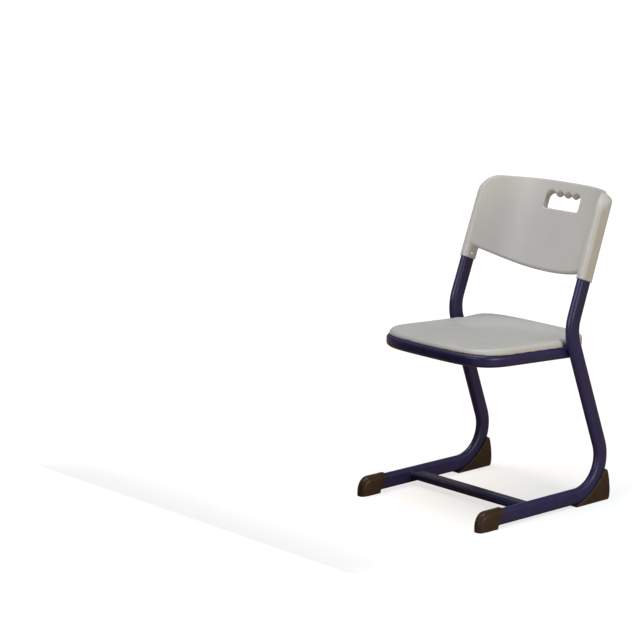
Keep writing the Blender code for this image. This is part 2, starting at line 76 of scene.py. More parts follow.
SLEEVE_R, SLEEVE_FLAT, SLEEVE_LOW = 0.013, 0.010, 0.128
PANEL_CENTRE, PANEL_EDGE, PANEL_POWER, PANEL_HALF = 0.070, -0.0207, 3.5, 0.190
PANEL_T, PANEL_SKIN, PANEL_RIM, POCKET_HALF = 0.015, 0.005, 0.007, 0.163
PANEL_SETBACK = 0.0020  # how much further back the front edge is at the top
PANEL_TOP_MID, PANEL_TOP_EDGE, PANEL_TOP_POWER = 0.3712, 0.3475, 3.1
PANEL_LOW_MID, PANEL_LOW_EDGE = 0.139, 0.160
CORNER_W, CORNER_OUT, CORNER_FALL, CORNER_FALL_REAR = 0.034, 0.017, 0.0655, 0.0200
BROW_BACK, BROW_DEPTH, BROW_FALL = 0.018, 0.0425, 0.0595
GRIP_HALF, GRIP_LOW, GRIP_HIGH = 0.0578, 0.2968, 0.3382
GRIP_PITCH, GRIP_WAVE, GRIP_FALL = 0.0273, 0.0043, 0.24
GRIP_LOW_R, GRIP_HIGH_R, GRIP_COLLAR = 0.006, 0.017, 0.006
GRIP_THICKER, GRIP_FRONT_R, GRIP_REAR_R = 0.0040, 0.0048, 0.0020
PANEL_FRONT_R, PANEL_REAR_R, PANEL_PAST, PANEL_AHEAD = 0.0085, 0.0025, 0.004, 0.0226
SLEEVE_SUNK, BORE_WALL, BORE_PAST, WALL_PAST = 0.0015, 0.0018, 0.001, 0.003

RIVET_S, RIVET_R, RIVET_SHANK_R, RIVET_LEN = 0.140, 0.0046, 0.0021, 0.0066
SCREW_PROFILE = [(0.0006, 0.0017), (0.0012, 0.0030), (0.0026, 0.0031), (0.0040, 0.0026),
                 (0.0047, 0.0014), (0.0048, 0.0004), (0.0021, 0.0004), (0.0021, -0.0100)]

CAP_W, CAP_TIP_Y, CAP_NOSE, CAP_TAPER = 0.030, -0.2243, 0.033, 0.0045
CAP_SHOULDER_Z, CAP_CURVE_H, CAP_MOUTH_Y, CAP_MOUTH_SLANT = 0.010, 0.038, -0.162, 0.0216
FOOT_W = 0.030
FOOT_OUTLINE = [(0.1140, 0.0), (0.2235, 0.0), (0.2275, 0.0015), (0.2300, 0.0060), (0.2316, 0.0180),
                (0.2316, 0.0300), (0.2295, 0.0500), (0.2262, 0.0660), (0.2232, 0.0755),
                (0.2180, 0.0795), (0.2120, 0.0770), (0.2050, 0.0665), (0.1950, 0.0545),
                (0.1800, 0.0400), (0.1590, 0.0243), (0.1350, 0.0125), (0.1220, 0.0070),
                (0.1120, 0.0030), (0.1115, 0.0005)]
SIDES = {"left": -1, "right": 1}

# ---------------------------------------------------------------- places and strengths of the stage
FLOOR_HALF = 60
FLAG_X, FLAG_Y, FLAG_Z = (-1.0, 0.25), -0.70, (0.02, 0.575)
CAMERA_AT, CAMERA_LENS = (4.2922, -4.3235, 1.7756), 142.666
CAMERA_YAW, CAMERA_RISE = math.radians(48.56), math.radians(12.27)
SKY_SEEN, SKY_LIGHT = 1.0, 0.30
# degrees from the front (-Y) towards +X, rise, spread, strength, colour: numbers fitted by least squares to
# the photograph's tones
LAMPS = {
    "front": (5, 14, 25, 1.82, (1.0, 0.98, 0.99)),
    "top": (0, 85, 25, 1.70, (0.66, 0.83, 1.0)),
    "left": (-60, 65, 25, 1.08, (1.0, 0.68, 0.35)),
    "side": (90, 14, 28, 1.57, (1.0, 0.86, 0.72)),
    "rear": (110, 14, 28, 0.52, (0.87, 1.0, 0.65)),
}


# ---------------------------------------------------------------- meshes
def add_mesh(name, verts, faces, mat, slot, replaces=(), smooth_angle=None):
    """A piece of the chair from feet coordinates, its normals facing out."""
    pts = np.array(verts, float).reshape(-1, 3)
    pts[:, 1] -= Y_MID
    mesh = bpy.data.meshes.new(name)
    mesh.from_pydata(pts.tolist(), [], [tuple(map(int, f)) for f in faces])
    bm = bmesh.new()
    bm.from_mesh(mesh)
    bmesh.ops.recalc_face_normals(bm, faces=bm.faces)
    bm.to_mesh(mesh)
    bm.free()
    mesh.shade_smooth()
    if smooth_angle:
        mesh.set_sharp_from_angle(angle=math.radians(smooth_angle))
    mesh.materials.append(mat)
    obj = bpy.data.objects.new(name, mesh)
    bpy.context.scene.collection.objects.link(obj)
    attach(obj, "root")
    if replaces:
        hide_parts(*replaces)


def loft(loops, closed=False):
    """Skin over a row of loops, joined end to end when closed, capped when not."""
    n, k = len(loops[0]), len(loops)
    verts = [p for loop in loops for p in loop]
    faces = []
    for i in range(k if closed else k - 1):
        a, b = i * n, ((i + 1) % k) * n
        faces += [(a + j, a + (j + 1) % n, b + (j + 1) % n, b + j) for j in range(n)]
    if not closed:
        faces += [tuple(range(n)), tuple(range((k - 1) * n, k * n))]
    return verts, faces


def pipe(outer, inner):
    """A hollow run with open ends."""
    n, k = len(outer[0]), len(outer)
    verts = [p for loop in outer + inner for p in loop]
    faces = []
    for base in (0, n * k):
        for i in range(k - 1):
            a = base + i * n
            faces += [(a + j, a + (j + 1) % n, a + n + (j + 1) % n, a + n + j) for j in range(n)]
    for end in (0, n * (k - 1)):
        faces += [(end + j, end + (j + 1) % n, n * k + end + (j + 1) % n, n * k + end + j)
                  for j in range(n)]
    return verts, faces


def oval(width, depth, steps=14):
    """Flat-oval section; a narrow facet beside each straight keeps the flats flat."""
    r, straight = width / 2, (depth - width) / 2
    angles = [0, 0.06] + [math.pi * i / steps for i in range(1, steps)] + [math.pi - 0.06, math.pi]
    half = [(r * math.cos(a), straight + r * math.sin(a)) for a in angles]
    half += [(-r, straight * 0.9), (-r, -straight * 0.9)]
    return half + [(-a, -d) for a, d in half]


# ---------------------------------------------------------------- moulded shapes
def cut(a, b, r):
    """What is inside both, with a rounded edge."""
    return np.minimum(-r, np.maximum(a, b)) + np.hypot(np.maximum(a + r, 0), np.maximum(b + r, 0))


def join(a, b, r):
    """What is inside either, with a fillet."""
    return np.maximum(r, np.minimum(a, b)) - np.hypot(np.maximum(r - a, 0), np.maximum(r - b, 0))


def smooth(value, start, end):
    """0 to 1 as value goes from start to end, with no kink at either."""
    t = np.clip((value - start) / (end - start), 0, 1)
    return t * t * (3 - 2 * t)


def ellipse_edge(a, a_reach, b, b_reach, scale):
    """What is inside a quarter ellipse; a and b are measured from where the rounding starts."""
    return (np.hypot(np.maximum(a, 0) / a_reach, np.maximum(b, 0) / b_reach) - 1) * scale


def oval_distance(across, along, width, depth):
    """Distance to a flat-oval section from offsets across and along its flats."""
    return np.hypot(across, np.maximum(np.abs(along) - (depth - width) / 2, 0)) - width / 2


def mould(field, low, high, step):
    """Vertices and quads of the surface where field(p, q, r) is zero, pulled on to it by Newton steps."""
    block, band, probe, rounds = 24, 0.02, 5e-5, 4
    low, high = np.array(low, float), np.array(high, float)
    axes = [np.arange(math.ceil((high[i] - low[i]) / step) + 1) * step + low[i] for i in range(3)]
    values = np.empty([len(a) for a in axes], np.float32)
    for start in range(0, len(axes[0]), block):
        places = np.meshgrid(axes[0][start:start + block], axes[1], axes[2], indexing="ij")
        values[start:start + block] = field(*places)
    grid = openvdb.FloatGrid(1.0)
    grid.copyFromArray(np.clip(values, -band, band))
    points, quads = grid.convertToQuads(isovalue=0.0)
    p = low + points.astype(float) * step
    for _ in range(rounds):
        f = field(*p.T)
        slope = np.stack([(field(*(p + d).T) - field(*(p - d).T)) / (2 * probe)
                          for d in np.eye(3) * probe], axis=1)
        move = slope * (f / np.maximum((slope ** 2).sum(1), 0.05))[:, None]
        size = np.linalg.norm(move, axis=1, keepdims=True)
        p -= move * np.minimum(1, 0.5 * step / np.maximum(size, 1e-12))
    return p, quads


class PlanDistance:
    """Distance to a polyline, or signed distance to a polygon, looked up from a fine table."""

    def __init__(self, points, closed, margin, step=0.001):
        pts = np.array(points, float)
        self.step = step
        self.low = pts.min(0) - margin
        shape = np.ceil((pts.max(0) + margin - self.low) / step).astype(int) + 1
        gx, gy = np.meshgrid(np.arange(shape[0]) * step + self.low[0],
                             np.arange(shape[1]) * step + self.low[1], indexing="ij")
        ends = np.roll(pts, -1, axis=0) if closed else pts[1:]
        starts = pts if closed else pts[:-1]
        best = np.full(gx.shape, 1e9)
        inside = np.zeros(gx.shape, bool)
        for (ax, ay), (bx, by) in zip(starts, ends):
            dx, dy = bx - ax, by - ay
            t = np.clip(((gx - ax) * dx + (gy - ay) * dy) / max(dx * dx + dy * dy, 1e-18), 0, 1)
            best = np.minimum(best, (gx - ax - t * dx) ** 2 + (gy - ay - t * dy) ** 2)
            if closed and ay != by:
                crosses = (ay > gy) != (by > gy)
                inside ^= crosses & (gx < ax + (gy - ay) * dx / dy)
        self.table = np.sqrt(best) * np.where(inside, -1.0, 1.0)

    def __call__(self, x, y):
        u = np.clip((x - self.low[0]) / self.step, 0, self.table.shape[0] - 1.001)
        v = np.clip((y - self.low[1]) / self.step, 0, self.table.shape[1] - 1.001)
        i, j = u.astype(int), v.astype(int)
        u, v, t = u - i, v - j, self.table
        return ((1 - u) * ((1 - v) * t[i, j] + v * t[i, j + 1])
                + u * ((1 - v) * t[i + 1, j] + v * t[i + 1, j + 1]))


# ---------------------------------------------------------------- materials
def new_material(name):
    mat = bpy.data.materials.new(name)
    mat.use_nodes = True
    tree = mat.node_tree
    return mat, tree, tree.nodes["Principled BSDF"]


def noise(tree, scale, detail=4.0, rough=0.55, stretch=None):
    """Noise in object coordinates, stretched along axes whose scale is below 1."""
    coord = tree.nodes.new("ShaderNodeTexCoord")
    tex = tree.nodes.new("ShaderNodeTexNoise")
    tex.inputs["Scale"].default_value = scale
    tex.inputs["Detail"].default_value = detail
    tex.inputs["Roughness"].default_value = rough
    source = coord.outputs["Object"]
    if stretch:
        mapping = tree.nodes.new("ShaderNodeMapping")
        mapping.inputs["Scale"].default_value = stretch
        tree.links.new(source, mapping.inputs["Vector"])
        source = mapping.outputs["Vector"]
    tree.links.new(source, tex.inputs["Vector"])
    return tex.outputs["Fac"]


def ramp(tree, source, stops):
    """Colour ramp through (position, colour) stops; a colour of one number is a grey."""
    node = tree.nodes.new("ShaderNodeValToRGB")
    tree.links.new(source, node.inputs["Fac"])
    elements = node.color_ramp.elements
    while len(elements) < len(stops):
        elements.new(0.5)
    for element, (at, colour) in zip(elements, stops):
        element.position = at
        element.color = (*colour, 1.0) if len(colour) == 3 else (colour[0],) * 3 + (1.0,)
    return node.outputs["Color"]


def mix_colour(tree, factor, a, b):
    """Blend of two colours; each of the three may be a value or a socket."""
    node = tree.nodes.new("ShaderNodeMix")
    node.data_type = "RGBA"
    for socket, value in ((node.inputs["Factor"], factor), (node.inputs[6], a), (node.inputs[7], b)):
        if isinstance(value, (int, float)):
            socket.default_value = value
        elif isinstance(value, tuple):
            socket.default_value = (*value, 1.0)
        else:
            tree.links.new(value, socket)
    return node.outputs[2]


def map_range(tree, source, from_low, from_high, to_low, to_high):
    node = tree.nodes.new("ShaderNodeMapRange")
    tree.links.new(source, node.inputs["Value"])
    for name, value in (("From Min", from_low), ("From Max", from_high),
                        ("To Min", to_low), ("To Max", to_high)):
        node.inputs[name].default_value = value
    return node.outputs["Result"]


def bump(tree, shader, layers):
    """Layers of (height, strength, distance), the first one lowest."""
    normal = None
    for height, strength, distance in layers:
        node = tree.nodes.new("ShaderNodeBump")
        node.inputs["Strength"].default_value = strength
        node.inputs["Distance"].default_value = distance
        tree.links.new(height, node.inputs["Height"])
        if normal:
            tree.links.new(normal, node.inputs["Normal"])
        normal = node.outputs["Normal"]
    tree.links.new(normal, shader.inputs["Normal"])


def scaled(colour, k):
    return tuple(c * k for c in colour)


def paint_material():
    """Navy powder coat: semi-gloss, a faint orange peel, slight shade drift, light scuffs."""
    mat, tree, shader = new_material("navy_powder_coat")
    base = (0.0158, 0.0145, 0.0640)
    drift = ramp(tree, noise(tree, 9.0, 3.0), [(0.30, scaled(base, 0.85)), (0.70, scaled(base, 1.18))])
    speck = ramp(tree, noise(tree, 1400.0, 2.0), [(0.62, (0.0,)), (0.74, (1.0,))])
    colour = mix_colour(tree, map_range(tree, speck, 0, 1, 0.0, 0.25), drift, (0.030, 0.030, 0.085))
    scuff = ramp(tree, noise(tree, 60.0, 8.0, 0.7, (1.0, 0.25, 1.0)), [(0.66, (0.0,)), (0.74, (1.0,))])
    colour = mix_colour(tree, map_range(tree, scuff, 0, 1, 0.0, 0.10), colour, (0.06, 0.06, 0.09))
    tree.links.new(colour, shader.inputs["Base Color"])
    tree.links.new(map_range(tree, noise(tree, 35.0, 5.0), 0.3, 0.7, 0.27, 0.38), shader.inputs["Roughness"])
    shader.inputs["Specular IOR Level"].default_value = 0.26
    bump(tree, shader, [(noise(tree, 420.0, 2.0), 0.10, 0.0004), (noise(tree, 2200.0, 2.0), 0.05, 0.0001)])
    return mat


def moulding_material(name, base, warm):
    """Grained polypropylene: pebbled grain, faint flow marks, a little handling shine."""
    mat, tree, shader = new_material(name)
    flow = ramp(tree, noise(tree, 5.5, 4.0, 0.6, (1.0, 1.0, 0.45)),
                [(0.32, scaled(base, 0.955)), (0.68, scaled(base, 1.035))])
    mottle = noise(tree, 46.0, 6.0, 0.65)
    colour = mix_colour(tree, map_range(tree, mottle, 0.35, 0.75, 0.0, 0.20), flow, warm)
    grime = ramp(tree, noise(tree, 17.0, 8.0, 0.72), [(0.60, (0.0,)), (0.80, (1.0,))])
    colour = mix_colour(tree, map_range(tree, grime, 0, 1, 0.0, 0.10), colour, scaled(warm, 0.72))
    tree.links.new(colour, shader.inputs["Base Color"])
    tree.links.new(map_range(tree, noise(tree, 24.0, 6.0), 0.3, 0.7, 0.44, 0.58), shader.inputs["Roughness"])
    shader.inputs["Specular IOR Level"].default_value = 0.40
    grain = tree.nodes.new("ShaderNodeTexVoronoi")
    grain.inputs["Scale"].default_value = 900.0
    coord = tree.nodes.new("ShaderNodeTexCoord")
    tree.links.new(coord.outputs["Object"], grain.inputs["Vector"])
    bump(tree, shader, [(noise(tree, 90.0, 3.0), 0.05, 0.0006), (grain.outputs["Distance"], 0.16, 0.00012),
                        (noise(tree, 2600.0, 3.0), 0.12, 0.0001)])
    return mat


def foot_material():
    """Dark brown foot plastic: coarser grain, dust and scuffing near the floor."""
    mat, tree, shader = new_material("brown_foot_plastic")
    base = (0.0240, 0.0125, 0.0065)
    colour = ramp(tree, noise(tree, 30.0, 6.0, 0.65),
                  [(0.30, scaled(base, 0.75)), (0.72, scaled(base, 1.40))])
    coord = tree.nodes.new("ShaderNodeTexCoord")
    split = tree.nodes.new("ShaderNodeSeparateXYZ")
    tree.links.new(coord.outputs["Object"], split.inputs["Vector"])
    low = map_range(tree, split.outputs["Z"], 0.0, 0.012, 1.0, 0.0)
    scuff = ramp(tree, noise(tree, 240.0, 8.0, 0.7, (1.0, 0.3, 1.6)), [(0.52, (0.0,)), (0.66, (1.0,))])
    both = tree.nodes.new("ShaderNodeMath")
    both.operation = "MULTIPLY"
    tree.links.new(low, both.inputs[0])
    tree.links.new(scuff, both.inputs[1])
    colour = mix_colour(tree, map_range(tree, both.outputs[0], 0, 1, 0.0, 0.35), colour, (0.16, 0.14, 0.12))
    tree.links.new(colour, shader.inputs["Base Color"])
    tree.links.new(map_range(tree, noise(tree, 70.0, 5.0), 0.3, 0.7, 0.36, 0.54), shader.inputs["Roughness"])
    shader.inputs["Specular IOR Level"].default_value = 0.22
    bump(tree, shader, [(noise(tree, 650.0, 4.0), 0.20, 0.0003), (noise(tree, 2400.0, 2.0), 0.10, 0.0001)])
    return mat


def steel_material():
    """Zinc-plated steel: cool patches, fine turning marks, brighter rubbed spots."""
    mat, tree, shader = new_material("zinc_plated_steel")
    colour = ramp(tree, noise(tree, 700.0, 5.0), [(0.30, (0.50, 0.50, 0.48)), (0.70, (0.78, 0.78, 0.77))])
    tree.links.new(colour, shader.inputs["Base Color"])
    tree.links.new(map_range(tree, noise(tree, 900.0, 4.0), 0.3, 0.7, 0.22, 0.42), shader.inputs["Roughness"])
    shader.inputs["Metallic"].default_value = 1.0
    bump(tree, shader, [(noise(tree, 2500.0, 3.0, 0.6, (1.0, 0.2, 1.0)), 0.15, 0.0001)])
    return mat


GREY, WARM_GREY = (0.362, 0.370, 0.367), (0.378, 0.370, 0.335)
PAINT = paint_material()
SEAT_PLASTIC = moulding_material("grey_seat_plastic", scaled(GREY, 1.03), WARM_GREY)
BACK_PLASTIC = moulding_material("grey_backrest_plastic", scaled(GREY, 0.975), WARM_GREY)
FOOT_PLASTIC = foot_material()
STEEL = steel_material()


# ---------------------------------------------------------------- frame tubes
def frame_x(z, side):
    """X of a side frame's middle plane at this height."""
    return side * (FRAME_X - LEAN * (z - LEAN_Z))


def upright_point(s, o):
    """(y, z) at s up the upright from the knee point and o behind its centreline."""
    return (KNEE_Y + s * math.sin(BACK_RAKE) + o * math.cos(BACK_RAKE),
            KNEE_Z + s * math.cos(BACK_RAKE) - o * math.sin(BACK_RAKE))


def side_path():
    """(y, z, heading) along a side frame's centreline, from the toe to the upright's top."""
    leg_turn = math.pi / 2 + LEG_RAKE
    heel_y = KNEE_Y + (KNEE_Z - RUN_Z) * math.tan(LEG_RAKE)
    y0 = heel_y - BEND_LOW_R * math.tan(leg_turn / 2)
    path = [(RUN_FRONT_Y + (y0 - RUN_FRONT_Y) * i / 8, RUN_Z, 0.0) for i in range(8)]
    for i in range(41):
        a = leg_turn * i / 40
        path.append((y0 + BEND_LOW_R * math.sin(a), RUN_Z + BEND_LOW_R * (1 - math.cos(a)), a))
    back_turn = LEG_RAKE + BACK_RAKE
    tangent = BEND_HIGH_R * math.tan(back_turn / 2)
    sy, sz = KNEE_Y + tangent * math.sin(LEG_RAKE), KNEE_Z - tangent * math.cos(LEG_RAKE)
    last = path[-1]
    path += [(last[0] + (sy - last[0]) * i / 6, last[1] + (sz - last[1]) * i / 6, leg_turn)
             for i in range(1, 6)]
    for i in range(21):
        t = back_turn * i / 20
        along, across = BEND_HIGH_R * math.sin(t), BEND_HIGH_R * (1 - math.cos(t))
        path.append((sy - along * math.sin(LEG_RAKE) + across * math.cos(LEG_RAKE),
                     sz + along * math.cos(LEG_RAKE) + across * math.sin(LEG_RAKE), leg_turn - t))
    last, top = path[-1], upright_point(UPRIGHT_LEN, 0.0)
    path += [(last[0] + (top[0] - last[0]) * i / 6, last[1] + (top[1] - last[1]) * i / 6,
              leg_turn - back_turn) for i in range(1, 7)]
    return path


PATH = side_path()
TUBE_SHARP = 50  # degrees beyond which a tube's edge is shaded sharp


def swept(side, section):
    """Loops of a section carried along one side frame."""
    loops = []
    for y, z, heading in PATH:
        ny, nz = math.sin(heading), -math.cos(heading)
        loops.append([(frame_x(z + d * nz, side) + a, y + d * ny, z + d * nz) for a, d in section])
    return loops


def rail_top(y):
    """Height of the seat rail's upper side, which falls towards the back."""
    return RAIL_TOP_Z - RAIL_TILT * y


def bow(half, reach, inset=0.0, steps=180):
    """(x, y, nx, ny) from the left round the front to the right, moved inwards by inset."""
    out = []
    for i in range(steps + 1):
        a = math.pi * i / steps
        c, s = math.cos(a), max(math.sin(a), 0.0)
        x = -half * math.copysign(abs(c) ** (2 / BOW_POWER), c)
        y = RAIL_CORNER_Y - reach * s ** (2 / BOW_POWER)
        gx = math.copysign(abs(x / half) ** (BOW_POWER - 1), x) / half
        gy = -((RAIL_CORNER_Y - y) / reach) ** (BOW_POWER - 1) / reach
        g = math.hypot(gx, gy)
        out.append((x - inset * gx / g, y - inset * gy / g, gx / g, gy / g))
    return out


def side_tubes():
    for name, side in SIDES.items():
        skins = [swept(side, oval(TUBE_W - w, TUBE_D - w)) for w in (0.0, 2 * TUBE_WALL)]
        add_mesh(f"side_tube_{name}", *pipe(*skins), PAINT, "frame_paint", [f"side_frame_{name}"],
                 TUBE_SHARP)


def cross_tube(name, node, half, y, z, size_y, size_z):
    """A straight flat-oval tube between the two sides; it lies flat or stands on edge."""
    skins = []
    for w in (0.0, 2 * TUBE_WALL):
        if size_y > size_z:
            section = [(d, a) for a, d in oval(size_z - w, size_y - w)]
        else:
            section = oval(size_y - w, size_z - w)
        skins.append([[(x, y + a, z + b) for a, b in section] for x in np.linspace(-half, half, 9)])
    add_mesh(name, *pipe(*skins), PAINT, "frame_paint", [node], TUBE_SHARP)


def rail_tube():
    line = [(-RAIL_HALF, y, -1.0, 0.0) for y in np.linspace(RAIL_END_Y, RAIL_CORNER_Y + 0.02, 6)]
    line += bow(RAIL_HALF, RAIL_REACH)
    line += [(RAIL_HALF, y, 1.0, 0.0) for y in np.linspace(RAIL_CORNER_Y + 0.02, RAIL_END_Y, 6)]
    kept = [line[0]]
    for p in line[1:]:
        if math.hypot(p[0] - kept[-1][0], p[1] - kept[-1][1]) > 0.002:
            kept.append(p)
    rail = [[[(x - nx * (RAIL_W / 2 - a), y - ny * (RAIL_W / 2 - a),
               rail_top(y - ny * (RAIL_W / 2 - a)) - RAIL_H / 2 + b)
              for a, b in oval(RAIL_W - w, RAIL_H - w)] for x, y, nx, ny in kept]
            for w in (0.0, 2 * TUBE_WALL)]
    add_mesh("seat_rail_tube", *pipe(*rail), PAINT, "frame_paint", ["seat_rail"], TUBE_SHARP)


def frame_tubes():
    side_tubes()
    cross_tube("floor_bar_tube", "floor_crossbar", frame_x(RUN_Z, 1) - TUBE_W / 2,
               BAR_Y, RUN_Z, TUBE_D, TUBE_W)
    rail_tube()
    cross_tube("rear_bar_tube", "seat_rear_bar", RAIL_HALF - RAIL_W,
               REAR_BAR_Y, rail_top(REAR_BAR_Y) - RAIL_H / 2, RAIL_W, REAR_BAR_H)


# ---------------------------------------------------------------- welds
RIPPLE, SWELL, TURN = 0.0026, 0.019, 6.283  # two pitches along a bead, and a full turn
BEAD_R, THIN_BEAD_R, BEAD_STEP = 0.0021, 0.0018, 0.0012
BEAD_INSET, BEAD_ROOM = 0.0004, 0.001
UPRIGHT_WELD_Y, UPRIGHT_WELD_DEPTH, UPRIGHT_WELD_INSET = (0.095, 0.1305), 0.0066, 0.0012


def weld_bead(name, line, radius, closed, seed):
    """A rippled fillet weld along a line of points."""
    pts = [Vector(p) for p in line]
    count = len(pts)
    rng = np.random.default_rng(seed)
    phase, loops, length = rng.uniform(0, 6.28, 3), [], 0.0
    for i, p in enumerate(pts):
        before = pts[i - 1] if closed or i else pts[0]
        after = pts[(i + 1) % count] if closed or i < count - 1 else pts[-1]
        forward = (after - before).normalized()
        u = forward.orthogonal().normalized()
        u = (u - forward * u.dot(forward)).normalized()
        if loops:
            u = (side_axis - forward * side_axis.dot(forward)).normalized()
        side_axis = u
        v = forward.cross(u)
        length += (p - before).length
        r = radius * (1 + 0.10 * math.sin(length / RIPPLE * TURN + phase[0])
                      + 0.08 * math.sin(length / SWELL * TURN + phase[1]))
        if not closed:
            r *= max(0.25, math.sin(math.pi * min(1, (i + 0.35) / (count - 0.3))) ** 0.35)
        loops.append([tuple(p + u * (r * math.cos(a)) + v * (r * math.sin(a)))
                      for a in np.linspace(0, 2 * math.pi, 12, endpoint=False)])
    verts, faces = loft(loops, closed)
    add_mesh(name, verts, faces, PAINT, "frame_paint")


def resample(points, spacing, closed):
    """Evenly spaced points along a line."""
    pts = [Vector(p) for p in points]
    if closed:
        pts.append(pts[0])
    out, carry = [pts[0]], 0.0
    for a, b in zip(pts, pts[1:]):
        d = (b - a).length
        t = spacing - carry
        while t <= d:
            out.append(a.lerp(b, t / d))
            t += spacing
        carry = d - (t - spacing)
    if closed and (out[-1] - out[0]).length < spacing * 0.6:
        out.pop()
    return out


def welds():
    for name, side in SIDES.items():
        x = side * (frame_x(RUN_Z, 1) - TUBE_W / 2 - BEAD_INSET)
        ring = [(x, BAR_Y + d, RUN_Z + a) for a, d in oval(TUBE_W + BEAD_ROOM, TUBE_D + BEAD_ROOM)]
        weld_bead(f"weld_floor_bar_{name}", resample(ring, BEAD_STEP, True), BEAD_R, True, 3 + side)
        z = rail_top(REAR_BAR_Y) - RAIL_H / 2
        ring = [(side * (RAIL_HALF - RAIL_W - BEAD_INSET), REAR_BAR_Y + a, z + b)
                for a, b in oval(RAIL_W + BEAD_ROOM, REAR_BAR_H + BEAD_ROOM)]
        weld_bead(f"weld_rear_bar_{name}", resample(ring, BEAD_STEP, True), THIN_BEAD_R, True, 9 + side)
        for where, up in (("top", 1), ("under", -1)):
            line = []
            for y in np.linspace(*UPRIGHT_WELD_Y, 30):
                z = rail_top(y) - RAIL_H / 2 + up * (RAIL_H / 2 - UPRIGHT_WELD_DEPTH)
                line.append((side * (RAIL_HALF - UPRIGHT_WELD_INSET), y, z))
            weld_bead(f"weld_upright_{where}_{name}", line, BEAD_R, False, 20 + side + up)


# ---------------------------------------------------------------- seat
def resampled_outline(points, spacing):
    return [(p.x, p.y) for p in resample([(x, y, 0.0) for x, y in points], spacing, True)]


def seat_outline():
    """(x, y) round the seat's edge: bowed front, straight sides, a step in, and a squarish tail."""
    right = [(x, y) for x, y, _, _ in bow(SEAT_HALF, SEAT_REACH)][90:]
    for i in range(9):
        t = i / 8
        right.append((SEAT_HALF + (TAIL_HALF - SEAT_HALF) * float(smooth(t, 0, 1)), STEP_Y + STEP_LEN * t))
    right += [(TAIL_HALF, 0.12)]
    for i in range(40):
        a = math.pi / 2 * i / 39
        right.append((TAIL_HALF * math.cos(a) ** TAIL_CORNER_POWER_X if i < 39 else 0.0,
                      TAIL_CORNER_Y + TAIL_REACH * math.sin(a) ** TAIL_CORNER_POWER_Y))
    return resampled_outline(right + [(-x, y) for x, y in reversed(right[1:-1])], 0.003)


SEAT_EDGE = PlanDistance(seat_outline(), True, 0.020)
RAIL_LINE = PlanDistance([(-RAIL_HALF + RAIL_W / 2, 0.30)]
                         + [(x, y) for x, y, _, _ in bow(RAIL_HALF, RAIL_REACH, RAIL_W / 2, 120)]
                         + [(RAIL_HALF - RAIL_W / 2, 0.30)], False, 0.030)


def seat_top(x, y):
    """Height of the sitting surface: a bowl in the rear half, a waterfall front, a raised rear lip."""
    across, along = np.abs(x / BOWL_HALF_X), np.abs((y - BOWL_Y) / BOWL_HALF_Y)
    bowl = (across ** BOWL_POWER + along ** BOWL_POWER) ** (1 / BOWL_POWER)
    wall = 0.38 + 0.22 * smooth(y, 0.040, 0.110)
    dish = BOWL_DEPTH * smooth(1 - bowl, 0, wall)
    dish = dish + SADDLE * np.maximum(0.0, 1 - (x / 0.175) ** 2) * smooth(y, -0.170, -0.020)
    front = FRONT_DROP * smooth(y, -0.115, -0.195)
    lip = REAR_LIP * smooth(y, 0.060, 0.180)
    return rail_top(y) + SEAT_HEIGHT - dish - front + lip


def seat_field(x, y, z):
    """The seat shell: a skin with a shoulder, four bosses and a skirt, cleared round the rail."""
    edge, over = SEAT_EDGE(x, y), z - seat_top(x, y)
    edge = edge + TAIL_DRAFT * np.maximum(rail_top(y) - z, 0) * smooth(y, 0.120, 0.140)
    solid = cut(edge, over, SEAT_SHOULDER)
    hollow = cut(edge + SEAT_SKIN, over + SEAT_SKIN, SEAT_SHOULDER - SEAT_SKIN)
    skin = np.maximum(solid, -hollow)
    for px, py in FIXINGS.values():
        height = np.abs(z - rail_top(py) - BOSS_RISE) - BOSS_HALF_H
        skin = join(skin, np.maximum(np.hypot(x - px, y - py) - BOSS_R, height), 0.0015)
    in_tail = smooth(y, TAIL_SKIRT_Y, TAIL_SKIRT_Y + 0.006)
    skirt_low = (1 - in_tail) * (rail_top(y) - 0.0060) + in_tail * TAIL_SKIRT_Z
    skin = cut(skin, skirt_low - z, 0.0012)
    rail = oval_distance(RAIL_LINE(x, y), z - rail_top(y) + RAIL_H / 2, RAIL_W, RAIL_H) - FIT_GAP
    return cut(skin, -np.where(y < TAIL_SKIRT_Y + 0.003, rail, 1.0), 0.0006)


def seat():
    verts, quads = mould(seat_field, (-0.192, -0.197, 0.364), (0.192, 0.220, 0.436), step=0.002)
    add_mesh("seat_moulding", verts, quads, SEAT_PLASTIC, "seat_plastic", ["seat_shell"])


# ---------------------------------------------------------------- backrest
def panel_edge_top(x):
    """How far up the uprights the panel's upper edge is at x."""
    return PANEL_TOP_MID + (PANEL_TOP_EDGE - PANEL_TOP_MID) * (x / PANEL_HALF) ** PANEL_TOP_POWER


def panel_edge_low(x):
    """How far up the uprights the panel's lower edge is at x."""
    return PANEL_LOW_MID + (PANEL_LOW_EDGE - PANEL_LOW_MID) * (x / PANEL_HALF) ** 2


def grip(x, s, depth):
    """The handle opening: four finger scoops in a wave along its upper edge."""
    turn = math.pi * np.minimum(x, 1.5 * GRIP_PITCH) / GRIP_PITCH
    back = smooth(depth, 0.002, 0.016)
    wave_front = 2 * np.abs(np.sin(turn)) ** 0.8 - 1
    wave_back = 1 - 2 * np.abs(np.cos(turn)) ** 0.8
    wave = (1 - back) * wave_front + back * wave_back
    high = GRIP_HIGH + GRIP_WAVE * wave - GRIP_FALL * np.clip(depth, 0, 0.02)
    lower = cut(x - GRIP_HALF, GRIP_LOW - s, GRIP_LOW_R)
    return cut(lower, s - high, GRIP_HIGH_R)


